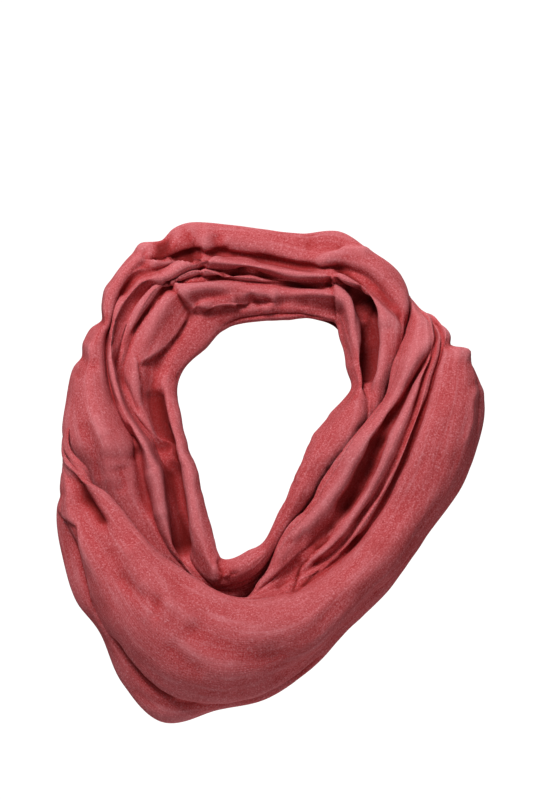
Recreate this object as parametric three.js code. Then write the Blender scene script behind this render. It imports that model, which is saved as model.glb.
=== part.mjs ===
// Infinity scarf in heathered jersey, worn doubled: one loop of cloth that goes twice round the neck.
// Millimetres, +Z up, +Y towards the wearer's back, +X to the viewer's right of the wearer's front.
// The origin is on the inner face of the cloth at the nape, where it rests on the back of the neck.
//
// Both turns are described round one middle axis, which leans forwards out of the neck opening:
//   angle    degrees clockwise as seen from the front, 0 at the nape, 90 on the viewer's right
//   out      distance from the axis
//   forward  height along the axis, towards the viewer
// Each turn is a wall of cloth through its fold lines: crests, grooves, hems and free edges.
import * as THREE from 'three';

// Cloth and frame
const clothThickness = 1.4;
const seamGap = 0.3;
const axisLean = 15;
const napeOut = 100.5;
const napeForward = -101;
const stationStep = 6;
const clothColour = 0xb05058;

// Angles of the columns of the fold tables
const columns = [-170, -150, -130, -110, -100, -90, -70, -50, -30, -10,
  10, 30, 40, 50, 60, 70, 90, 120, 150, 170];

// Inner turn: a row for each fold line, from the hidden edge beside the neck to the edge at the back.
// steps is the number of faces from this fold line to the next.
const innerTurn = [
  { fold: 'chestEdge', steps: 2,
    out: [112, 98, 80, 72, 72, 75, 85, 97, 98, 104, 108, 113, 107, 96, 86, 60, 48, 45, 56, 78],
    forward: [-14, -22, -34, -46, -52, -60, -76, -92, -106, -119,
      -119, -112, -100, -88, -76, -62, -42, -28, -22, -16] },
  { fold: 'neckEdge', steps: 2,
    out: [98.7, 86, 68.7, 61.7, 63, 65.3, 76.8, 91, 91.5, 98.5,
      103, 110, 102, 90, 81, 51.5, 39, 36, 45, 64.4],
    forward: [8, 0, -14, -28, -34, -40, -56, -72, -87, -100,
      -100, -94, -83, -70, -57, -42, -22, -8, 0, 4] },
  { fold: 'band', steps: 2,
    out: [107, 98, 77, 67, 69, 73, 86, 101, 110, 108, 110, 117, 107, 95, 85, 60, 47, 41, 50, 70],
    forward: [23, 13, -1, -14, -19, -26, -46, -68, -84, -96,
      -96, -92, -74, -59, -45, -29, -9, 2, 8, 11] },
  { fold: 'bandGroove', steps: 2,
    out: [113, 108, 92, 79, 81.5, 86, 100, 112, 131.5, 118,
      117, 122, 111, 99, 88, 68, 55, 46, 55, 73],
    forward: [24, 8, -11, -24, -30, -37, -57, -71, -87, -99,
      -95, -90, -67, -54, -40, -23, -4, 4, 11, 13] },
  { fold: 'flap', steps: 2,
    out: [118, 115, 94.5, 81.5, 84, 89, 117, 127, 144, 126,
      124, 133, 115, 103, 91, 80, 66, 54, 60, 77],
    forward: [20, 4, -13, -26.5, -32, -39, -46, -56, -72, -85,
      -93, -70, -61, -52, -39, -23, -4, 3, 10, 13] },
  { fold: 'flapGroove', steps: 1,
    out: [122, 119, 97, 84, 86, 91.5, 126, 142, 156, 136,
      132, 143.6, 128, 110, 96.5, 91, 76, 61.5, 66.5, 83],
    forward: [14, 1, -14.5, -27.5, -32, -39, -50, -66, -83, -96,
      -98, -82, -73, -64, -47, -34, -13, -5, 1, 5] },
  { fold: 'hem', steps: 1,
    out: [124, 120.5, 99.5, 86.5, 88, 93.5, 128, 145.5, 158.5, 138.5,
      134, 145, 131, 113, 98.5, 93, 79, 66, 71, 86],
    forward: [12, 1, -14.5, -26.5, -31, -38, -50, -61, -78, -92,
      -97, -81, -73, -65, -49, -36, -17, -8, -3, 3] },
  { fold: 'hemGroove', steps: 2,
    out: [126, 122, 102, 89, 90, 96, 129.5, 151, 161, 142.5,
      136, 147, 137, 119, 101, 95, 82, 70, 76, 89],
    forward: [10, 2, -12, -23, -28, -34, -47, -65, -84, -99,
      -95, -79, -70, -60, -47, -38, -20, -11, -6, 1] },
  { fold: 'roll', steps: 2,
    out: [130, 125, 108, 95, 96.5, 103, 133, 161.5, 167.5, 150.5,
      141, 152, 146, 135, 109, 99, 88, 76, 84, 98],
    forward: [9, 5, 3, -2, -4, -8, -30, -54, -75, -89,
      -86, -70, -58, -46, -35, -39, -23, -13, -9, 0] },
  { fold: 'rollGroove', steps: 1,
    out: [134, 128, 116, 107, 107, 109.6, 138, 167, 174, 159,
      149, 161, 157, 149, 120, 106, 94, 82, 92, 106],
    forward: [7, 3, -4, -13, -16, -22, -42, -64, -86, -106,
      -99, -80, -70, -57, -48, -42, -25, -15, -12, -2] },
  { fold: 'brow', steps: 2,
    out: [140, 132, 121, 116, 117, 121, 146, 170, 178, 163,
      154, 168, 163, 151, 124, 109, 98, 88, 100, 114],
    forward: [6, 1, -5, -8, -7, -6, -30, -58, -84, -102,
      -97, -76, -69, -60, -54, -45, -28, -17, -13, -3] },
  { fold: 'crown', steps: 2,
    out: [148, 140, 131, 130, 131, 135, 157, 173.5, 184, 173,
      164, 174, 169, 153, 127, 113, 103, 96, 112, 126],
    forward: [5, 0, -6, -6, -3, 0, -28, -58, -86, -104,
      -102, -80, -73, -66, -60, -49, -32, -21, -16, -5] },
  { fold: 'outline', steps: 2,
    angles: [-170, -150, -130, -110, -100, -90, -80, -70, -60, -50, -40, -30, -20, -10,
      0, 10, 20, 30, 40, 50, 60, 70, 90, 120, 150, 170],
    out: [164, 155, 148, 149, 152, 159, 165, 170.3, 171.4, 177, 185.7, 190.6, 193, 183,
      176, 175.6, 185, 178.3, 174, 153, 130, 118, 108, 104, 125, 142],
    forward: [-6, -14, -19, -19, -21, -26, -38, -52, -64, -77, -91, -103, -113, -120,
      -120, -116, -107, -96, -87, -75, -68, -57, -40, -30, -26, -14] },
  { fold: 'back', steps: 1,
    out: [168, 157, 146, 147, 149, 155, 165, 171, 183, 176,
      168, 171, 166, 149, 124, 112, 102, 98, 122, 142],
    forward: [-24, -32, -36, -36, -40, -46, -72, -97, -122, -136,
      -134, -114, -106, -90, -80, -69, -52, -42, -40, -34] },
  { fold: 'backEdge', steps: 1,
    out: [170, 156, 140, 137, 139, 143, 150, 156, 166, 156,
      151, 155, 150, 134, 110, 98, 86, 84, 112, 142],
    forward: [-44, -48, -50, -49, -53, -60, -88, -112, -134, -146,
      -146, -128, -118, -100, -88, -77, -60, -50, -52, -52] },
];

// Outer turn: from the lip beside the inner turn, over the front drape, to the edge against the body.
const outerTurn = [
  { fold: 'lip', steps: 2,
    out: [140, 149, 145, 148.5, 150, 163, 169, 175, 187, 175,
      168, 173, 172, 160, 125, 109, 74, 60, 69, 84],
    forward: [20, 24, 15, 3, 2, -12, -77, -101, -126, -144,
      -143, -121, -105, -73, -40, -27, 1, 6, 7, 11] },
  { fold: 'rim', steps: 2,
    out: [138.5, 144, 141, 145, 151.9, 166, 169.5, 176, 188, 176,
      169, 174, 173, 164.5, 143, 118, 85, 72, 77, 93],
    forward: [25, 25, 15, 4, 7.2, -18, -81, -106, -131, -149,
      -147, -126, -110, -66, -24, -14, 12, 16, 17, 16] },
  { fold: 'rimGroove', steps: 2,
    out: [136.5, 139, 137, 142, 153, 167.3, 169, 175, 187, 175,
      168, 173, 172, 168.5, 160, 128, 95.6, 88, 92, 104],
    forward: [30, 26, 16, 3, 9.5, -24, -84, -109, -135, -152,
      -150, -130, -116, -78, -37, -25, 4, 8, 8, 13] },
  { fold: 'ply', steps: 1,
    out: [134.5, 135, 134, 140, 154, 168, 169.5, 176, 187, 175,
      168, 173, 172, 169, 162.5, 135, 106, 96, 104.5, 111],
    forward: [35, 28, 17, 4, 10.7, -29, -88, -113, -139, -157,
      -156, -135, -121, -85, -41, -12, 14, 15, 17, 14] },
  { fold: 'plyGroove', steps: 1,
    out: [133, 131.5, 131, 138.5, 155.2, 168.3, 168.5, 175, 186, 173,
      166, 172, 171, 168.5, 165.2, 140.5, 115.5, 102, 110, 117],
    forward: [39.5, 31, 19, 7, 11.5, -33, -91, -117, -142, -157,
      -156, -137, -124, -90, -44, -19, 8, 8, 11, 17] },
  { fold: 'hem', steps: 1,
    out: [132, 128.5, 129, 137.5, 156.5, 168.5, 168.5, 175, 185, 173,
      166, 172, 171, 168.5, 167.6, 144.5, 118.7, 106.5, 113.5, 121],
    forward: [44, 34, 22, 10, 12, -37, -95, -121, -146, -160,
      -159, -141, -127, -95, -40, -15, 12, 13, 16, 21] },
  { fold: 'hemGroove', steps: 2,
    out: [132.3, 127.5, 128, 138, 157.8, 168.5, 167.5, 174, 183, 171,
      164, 170, 170, 168, 170.6, 148.5, 122, 111, 117, 125],
    forward: [49, 40, 27, 14, 12, -41, -98, -124, -149, -161,
      -160, -143, -130, -100, -44, -20, 8, 9, 12, 28] },
  { fold: 'top', steps: 2,
    out: [136, 134, 132, 142, 160, 168.5, 167, 172, 180, 168,
      161, 168, 168, 167.5, 173.8, 154, 128, 117, 124, 134],
    forward: [57, 50, 38, 20, 11, -46, -102, -128, -152, -164,
      -163, -146, -133, -106, -44, -12, 15, 18, 33, 50] },
  { fold: 'face', steps: 2,
    out: [160, 154, 146, 149, 162, 167.5, 163, 167, 171, 158,
      151, 160, 162, 164, 176, 166, 142, 130, 136, 154],
    forward: [72, 63, 45, 20, 7, -54, -110, -134, -158, -168,
      -167, -150, -138, -112, -50, -14, 17, 23, 43, 63] },
  { fold: 'trough', steps: 2,
    out: [182, 176, 162, 160, 165, 165, 157, 159, 160, 149,
      145, 153, 156, 158, 177, 176, 156, 143, 148, 171],
    forward: [73, 63, 42, 11, 0, -67, -117, -139, -160, -167,
      -166, -151, -141, -120, -60, -20, 12, 20, 41, 59] },
  { fold: 'belly', steps: 2,
    out: [205, 200, 178, 172, 168, 159, 150, 149, 148, 138,
      136, 145, 148, 151, 175, 181, 167, 151, 156, 182],
    forward: [62, 53, 38, 11, -7, -80, -122, -144, -163, -170,
      -169, -154, -145, -128, -72, -30, 4, 12, 33, 46] },
  { fold: 'crease', steps: 2,
    angles: [-170, -160, -150, -140, -130, -120, -110, -100, -90, -70, -50, -30, -10, 10,
      30, 40, 50, 60, 70, 90, 120, 150, 160, 170, 180],
    out: [220.4, 224.4, 216.6, 205, 190.3, 179, 178, 170, 151, 142, 138, 134, 129, 128,
      136, 138, 142, 171, 182.3, 174, 155, 161, 171, 190, 210],
    forward: [46, 41, 34, 28, 22, 11, 1, -15, -88, -126, -147, -162, -166, -165,
      -153, -146, -133, -84, -42, -6, 2, 23, 28, 34, 42] },
  { fold: 'hang', steps: 2,
    angles: [-170, -160, -150, -140, -130, -120, -110, -100, -90, -70, -50, -30, -10, 10,
      30, 40, 50, 60, 70, 80, 90, 100, 110, 120, 130, 140, 150, 160,
      170, 180],
    out: [227.7, 248, 234.4, 211, 204.7, 193, 183.6, 171, 141, 130, 125, 123, 120, 121,
      128, 128, 131, 163, 181, 184.5, 177.4, 169.3, 161.5, 156.5, 157, 161.5, 165.5, 176.5,
      195.5, 216],
    forward: [30, 24, 18, 13, 8, -3, -13, -27, -94, -129, -148, -160, -162, -161,
      -151, -146, -137, -96, -56, -36, -20, -15, -11, -9, -6, 0, 6, 12,
      20, 28] },
  { fold: 'under', steps: 1,
    out: [214, 216, 190, 172, 162, 128, 116, 113, 112, 112,
      114, 121, 118, 118, 149, 170, 170, 150, 158, 188],
    forward: [8, -6, -14, -42, -56, -98, -131, -148, -156, -156,
      -155, -147, -144, -139, -108, -80, -50, -38, -24, -2] },
  { fold: 'backEdge', steps: 1,
    out: [190, 190, 168, 158, 148, 114, 104, 101, 101, 104,
      107, 114, 110, 107, 129, 148, 150, 140, 150, 172],
    forward: [-10, -22, -34, -66, -80, -98, -129, -144, -150, -148,
      -147, -140, -138, -137, -114, -96, -78, -62, -48, -28] },
];

// Stretches of each turn that show, clockwise from one cut to the next
const stretches = [
  { name: 'inner_nape', turn: innerTurn, from: -48, to: 42 },
  { name: 'inner_right', turn: innerTurn, from: 42, to: 150 },
  { name: 'inner_front', turn: innerTurn, from: 150, to: 222 },
  { name: 'inner_left', turn: innerTurn, from: 222, to: 312 },
  { name: 'outer_back', turn: outerTurn, from: -60, to: 42 },
  { name: 'outer_right', turn: outerTurn, from: 42, to: 138 },
  { name: 'outer_front', turn: outerTurn, from: 138, to: 216 },
  { name: 'outer_left', turn: outerTurn, from: 216, to: 300 },
];

const lean = THREE.MathUtils.degToRad(axisLean);
const right = new THREE.Vector3(1, 0, 0);
const up = new THREE.Vector3(0, Math.sin(lean), Math.cos(lean));
const front = new THREE.Vector3(0, -Math.cos(lean), Math.sin(lean));
const middle = up.clone().multiplyScalar(-napeOut).addScaledVector(front, -napeForward);

// Value of one table row at an angle: a smooth closed curve through its keys
function rowAt(angles, values, angle) {
  const count = angles.length;
  let turned = angle;
  while (turned < angles[0]) turned += 360;
  while (turned >= angles[0] + 360) turned -= 360;
  let index = count - 1;
  while (angles[index] > turned) index -= 1;
  const key = (offset) => {
    const place = index + offset;
    const wraps = Math.floor(place / count);
    const at = place - wraps * count;
    return { angle: angles[at] + 360 * wraps, value: values[at] };
  };
  const [before, start, end, after] = [key(-1), key(0), key(1), key(2)];
  const span = end.angle - start.angle;
  const share = (turned - start.angle) / span;
  const startSlope = (end.value - before.value) / (end.angle - before.angle) * span;
  const endSlope = (after.value - start.value) / (after.angle - start.angle) * span;
  const cube = share ** 3;
  const square = share ** 2;
  return (2 * cube - 3 * square + 1) * start.value + (cube - 2 * square + share) * startSlope
    + (3 * square - 2 * cube) * end.value + (cube - square) * endSlope;
}

// Point in the part's frame from angle, out and forward
function ringPoint(angle, out, forward) {
  const turned = THREE.MathUtils.degToRad(angle);
  return middle.clone()
    .addScaledVector(right, out * Math.sin(turned))
    .addScaledVector(up, out * Math.cos(turned))
    .addScaledVector(front, forward);
}

// Curve across the cloth at one angle, through every fold line of the turn
function sectionCurve(turn, angle) {
  const points = turn.map((row) => {
    const angles = row.angles ?? columns;
    return ringPoint(angle, rowAt(angles, row.out, angle), rowAt(angles, row.forward, angle));
  });
  return new THREE.CatmullRomCurve3(points, false, 'centripetal');
}

// Places across the cloth, from 0 at the first fold line to 1 at the last
function acrossPlaces(turn) {
  const spans = turn.length - 1;
  const places = turn.slice(0, spans).flatMap((row, index) => (
    Array.from({ length: row.steps }, (_, step) => (index + step / row.steps) / spans)
  ));
  return [...places, 1];
}

// Outer point and unit normal for each place across one section
function sectionPoints(turn, angle, places) {
  const turnStep = 0.5;
  const acrossStep = 0.002;
  const here = sectionCurve(turn, angle);
  const ahead = sectionCurve(turn, angle + turnStep);
  const behind = sectionCurve(turn, angle - turnStep);
  return places.map((place) => {
    const low = Math.max(place - acrossStep, 0);
    const high = Math.min(place + acrossStep, 1);
    const across = here.getPoint(high).sub(here.getPoint(low));
    const along = ahead.getPoint(place).sub(behind.getPoint(place));
    const normal = across.cross(along).normalize();
    return { point: here.getPoint(place), normal };
  });
}

// Angles of the sections of one stretch
function stationAngles(stretch) {
  const count = Math.round((stretch.to - stretch.from) / stationStep);
  return Array.from({ length: count + 1 }, (_, index) => (
    stretch.from + (stretch.to - stretch.from) * index / count
  ));
}

// Direction round the ring at an angle, clockwise
function aroundDirection(angle) {
  const turned = THREE.MathUtils.degToRad(angle);
  return right.clone().multiplyScalar(Math.cos(turned)).addScaledVector(up, -Math.sin(turned));
}

// Closed wall of cloth over one stretch: outer face, inner face and the four edges between them
function stretchGeometry(stretch) {
  const places = acrossPlaces(stretch.turn);
  const angles = stationAngles(stretch);
  const wide = places.length;
  const long = angles.length;
  const outer = [];
  const inner = [];
  angles.forEach((angle, station) => {
    const trim = new THREE.Vector3();
    if (station === 0) trim.copy(aroundDirection(angle)).multiplyScalar(seamGap / 2);
    if (station === long - 1) trim.copy(aroundDirection(angle)).multiplyScalar(-seamGap / 2);
    for (const { point, normal } of sectionPoints(stretch.turn, angle, places)) {
      outer.push(point.clone().add(trim));
      inner.push(point.clone().add(trim).addScaledVector(normal, -clothThickness));
    }
  });
  const vertices = [...outer, ...inner];
  const triangles = [];
  const quad = (a, b, c, d) => triangles.push(a, b, c, a, c, d);
  const innerStart = outer.length;
  for (let station = 0; station < long - 1; station += 1) {
    for (let place = 0; place < wide - 1; place += 1) {
      const corner = station * wide + place;
      quad(corner, corner + 1, corner + wide + 1, corner + wide);
      const under = innerStart + corner;
      quad(under, under + wide, under + wide + 1, under + 1);
    }
    const first = station * wide;
    const last = first + wide - 1;
    quad(first, first + wide, innerStart + first + wide, innerStart + first);
    quad(last, innerStart + last, innerStart + last + wide, last + wide);
  }
  for (let place = 0; place < wide - 1; place += 1) {
    const near = place;
    const far = (long - 1) * wide + place;
    quad(near, innerStart + near, innerStart + near + 1, near + 1);
    quad(far, far + 1, innerStart + far + 1, innerStart + far);
  }
  const geometry = new THREE.BufferGeometry();
  const coordinates = vertices.flatMap((vertex) => vertex.toArray());
  geometry.setAttribute('position', new THREE.Float32BufferAttribute(coordinates, 3));
  geometry.setIndex(triangles);
  geometry.computeVertexNormals();
  return geometry;
}

// One named piece of the scarf
function stretchMesh(stretch) {
  const material = new THREE.MeshStandardMaterial({ color: clothColour, roughness: 0.95, metalness: 0 });
  const mesh = new THREE.Mesh(stretchGeometry(stretch), material);
  mesh.name = stretch.name;
  return mesh;
}

const scarf = new THREE.Group();
stretches.forEach((stretch) => scarf.add(stretchMesh(stretch)));

export default scarf;
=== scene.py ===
"""Infinity scarf in heathered jersey, worn doubled: its cloth, hems, stitches, stage and camera."""
import math

import bpy
import numpy as np
from mathutils import Matrix, Vector


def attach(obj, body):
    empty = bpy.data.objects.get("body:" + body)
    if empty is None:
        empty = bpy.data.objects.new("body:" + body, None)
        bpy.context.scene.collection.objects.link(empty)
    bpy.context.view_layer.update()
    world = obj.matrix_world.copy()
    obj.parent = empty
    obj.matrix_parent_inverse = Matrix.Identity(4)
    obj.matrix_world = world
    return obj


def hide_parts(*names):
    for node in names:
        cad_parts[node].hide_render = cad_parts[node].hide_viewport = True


bl_info = {
    "name": "Infinity Scarf",
    "version": (1, 0, 0),
    "blender": (4, 5, 0),
    "location": "3D View > Sidebar > Scarf",
    "description": "Builds a jersey infinity scarf, worn doubled, around its solids",
    "category": "Object",
}

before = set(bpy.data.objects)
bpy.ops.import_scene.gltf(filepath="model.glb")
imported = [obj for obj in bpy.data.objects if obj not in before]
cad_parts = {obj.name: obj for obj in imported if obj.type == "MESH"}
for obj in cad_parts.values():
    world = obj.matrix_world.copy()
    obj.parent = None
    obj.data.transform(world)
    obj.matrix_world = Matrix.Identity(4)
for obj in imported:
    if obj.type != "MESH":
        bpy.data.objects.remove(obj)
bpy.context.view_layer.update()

MM = 0.001
BODY = "root"
INNER_NODES = ("inner_nape", "inner_right", "inner_front", "inner_left")
OUTER_NODES = ("outer_back", "outer_right", "outer_front", "outer_left")

# Frame of the turns, in mm and degrees: the axis leans forwards out of the neck opening
AXIS_LEAN = 15
NAPE_OUT = 100.5
NAPE_FORWARD = -101

# The flat cut, in metres: the loop's length, and the width of each turn that shows
LOOP_LENGTH = 1.8
INNER_WIDTH = 0.155
OUTER_WIDTH = 0.185

# Photo frame: size in pixels, mm for each pixel, and the pixel on the axis of the turns
PHOTO_WIDTH = 533
PHOTO_HEIGHT = 799
MM_PER_PIXEL = 0.83
AXIS_PIXEL = (265, 440)

# Angles of the columns of the fold tables, in degrees from the top, growing to the right
COLUMNS = [
    -170, -150, -130, -110, -100, -90, -70, -50, -30, -10, 10, 30, 40, 50, 60, 70, 90, 120, 150, 170,
]


def fold(name, out, forward, angles=COLUMNS):
    """One fold line: how far it lies out from the axis and forward along it at each angle, in mm."""
    return {"name": name, "angles": angles, "out": out, "forward": forward}


def crease(shape, path, width, depth, **more):
    """One crease: its path in photo pixels, its width and its depth in mm."""
    return {"shape": shape, "path": path, "width": width, "depth": depth, **more}


# Inner turn: a row for each fold line, from the hidden edge beside the neck to the back edge
INNER_TURN = [
    fold("chest edge",
        out=[112, 98, 80, 72, 72, 75, 85, 97, 98, 104, 108, 113, 107, 96, 86, 60, 48, 45, 56, 78],
        forward=[-14, -22, -34, -46, -52, -60, -76, -92, -106, -119, -119, -112, -100, -88, -76, -62,
            -42, -28, -22, -16]),
    fold("neck edge",
        out=[98.7, 86, 68.7, 61.7, 63, 65.3, 76.8, 91, 91.5, 98.5, 103, 110, 102, 90, 81, 51.5, 39, 36,
            45, 64.4],
        forward=[8, 0, -14, -28, -34, -40, -56, -72, -87, -100, -100, -94, -83, -70, -57, -42, -22, -8,
            0, 4]),
    fold("band",
        out=[107, 98, 77, 67, 69, 73, 86, 101, 110, 108, 110, 117, 107, 95, 85, 60, 47, 41, 50, 70],
        forward=[23, 13, -1, -14, -19, -26, -46, -68, -84, -96, -96, -92, -74, -59, -45, -29, -9, 2, 8,
            11]),
    fold("band groove",
        out=[113, 108, 92, 79, 81.5, 86, 100, 112, 131.5, 118, 117, 122, 111, 99, 88, 68, 55, 46, 55,
            73],
        forward=[24, 8, -11, -24, -30, -37, -57, -71, -87, -99, -95, -90, -67, -54, -40, -23, -4, 4, 11,
            13]),
    fold("flap",
        out=[118, 115, 94.5, 81.5, 84, 89, 117, 127, 144, 126, 124, 133, 115, 103, 91, 80, 66, 54, 60,
            77],
        forward=[20, 4, -13, -26.5, -32, -39, -46, -56, -72, -85, -93, -70, -61, -52, -39, -23, -4, 3,
            10, 13]),
    fold("flap groove",
        out=[122, 119, 97, 84, 86, 91.5, 126, 142, 156, 136, 132, 143.6, 128, 110, 96.5, 91, 76, 61.5,
            66.5, 83],
        forward=[14, 1, -14.5, -27.5, -32, -39, -50, -66, -83, -96, -98, -82, -73, -64, -47, -34, -13,
            -5, 1, 5]),
    fold("hem",
        out=[124, 120.5, 99.5, 86.5, 88, 93.5, 128, 145.5, 158.5, 138.5, 134, 145, 131, 113, 98.5, 93,
            79, 66, 71, 86],
        forward=[12, 1, -14.5, -26.5, -31, -38, -50, -61, -78, -92, -97, -81, -73, -65, -49, -36, -17,
            -8, -3, 3]),
    fold("hem groove",
        out=[126, 122, 102, 89, 90, 96, 129.5, 151, 161, 142.5, 136, 147, 137, 119, 101, 95, 82, 70, 76,
            89],
        forward=[10, 2, -12, -23, -28, -34, -47, -65, -84, -99, -95, -79, -70, -60, -47, -38, -20, -11,
            -6, 1]),
    fold("roll",
        out=[130, 125, 108, 95, 96.5, 103, 133, 161.5, 167.5, 150.5, 141, 152, 146, 135, 109, 99, 88, 76,
            84, 98],
        forward=[9, 5, 3, -2, -4, -8, -30, -54, -75, -89, -86, -70, -58, -46, -35, -39, -23, -13, -9, 0]),
    fold("roll groove",
        out=[134, 128, 116, 107, 107, 109.6, 138, 167, 174, 159, 149, 161, 157, 149, 120, 106, 94, 82,
            92, 106],
        forward=[7, 3, -4, -13, -16, -22, -42, -64, -86, -106, -99, -80, -70, -57, -48, -42, -25, -15,
            -12, -2]),
    fold("brow",
        out=[140, 132, 121, 116, 117, 121, 146, 170, 178, 163, 154, 168, 163, 151, 124, 109, 98, 88, 100,
            114],
        forward=[6, 1, -5, -8, -7, -6, -30, -58, -84, -102, -97, -76, -69, -60, -54, -45, -28, -17, -13,
            -3]),
    fold("crown",
        out=[148, 140, 131, 130, 131, 135, 157, 173.5, 184, 173, 164, 174, 169, 153, 127, 113, 103, 96,
            112, 126],
        forward=[5, 0, -6, -6, -3, 0, -28, -58, -86, -104, -102, -80, -73, -66, -60, -49, -32, -21, -16,
            -5]),
    fold("outline",
        angles=[-170, -150, -130, -110, -100, -90, -80, -70, -60, -50, -40, -30, -20, -10, 0, 10, 20, 30,
            40, 50, 60, 70, 90, 120, 150, 170],
        out=[164, 155, 148, 149, 152, 159, 165, 170.3, 171.4, 177, 185.7, 190.6, 193, 183, 176, 175.6,
            185, 178.3, 174, 153, 130, 118, 108, 104, 125, 142],
        forward=[-6, -14, -19, -19, -21, -26, -38, -52, -64, -77, -91, -103, -113, -120, -120, -116,
            -107, -96, -87, -75, -68, -57, -40, -30, -26, -14]),
    fold("back",
        out=[168, 157, 146, 147, 149, 155, 165, 171, 183, 176, 168, 171, 166, 149, 124, 112, 102, 98,
            122, 142],
        forward=[-24, -32, -36, -36, -40, -46, -72, -97, -122, -136, -134, -114, -106, -90, -80, -69,
            -52, -42, -40, -34]),
    fold("back edge",
        out=[170, 156, 140, 137, 139, 143, 150, 156, 166, 156, 151, 155, 150, 134, 110, 98, 86, 84, 112,
            142],
        forward=[-44, -48, -50, -49, -53, -60, -88, -112, -134, -146, -146, -128, -118, -100, -88, -77,
            -60, -50, -52, -52]),
]

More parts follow.
